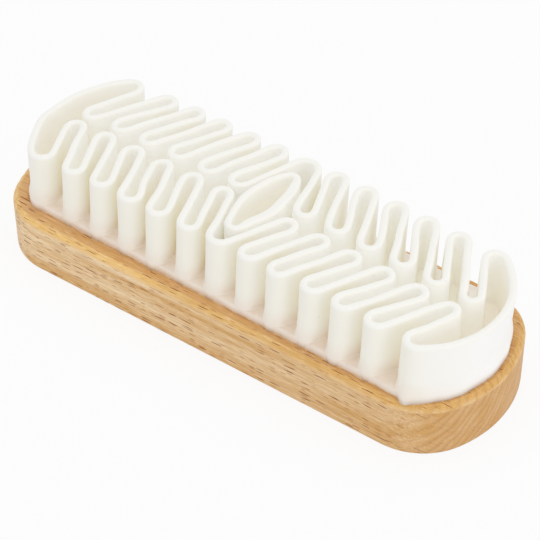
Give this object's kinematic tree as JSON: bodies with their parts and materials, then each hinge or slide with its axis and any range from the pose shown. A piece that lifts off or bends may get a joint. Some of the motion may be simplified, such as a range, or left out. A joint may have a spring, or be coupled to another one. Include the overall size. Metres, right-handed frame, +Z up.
{
  "type": "crepe rubber shoe brush",
  "caption": "Suede and nubuck brush: a rounded beech block with a glued white crepe-rubber pad whose upright wall winds to and fro round a pointed middle loop.",
  "frame": {"origin": "middle of the flat wooden back, which is the underside as the brush lies rubber side up", "axes": "+X along the block, +Y across it, +Z up from the wooden back towards the crest of the rubber"},
  "size_m": [0.13, 0.0434, 0.0301],
  "materials": {
    "beech": "fine sanded beech, waxed, satin",
    "rubber": "milky crepe rubber, smooth and faintly translucent",
    "glue": "dried clear contact glue"
  },
  "bodies": {
    "root": {"wood_block": "beech", "glue_film": "glue", "rubber_sheet": "rubber", "folded_rubber_strip": "rubber", "rubber_centre_loop": "rubber"}
  },
  "joints": []
}
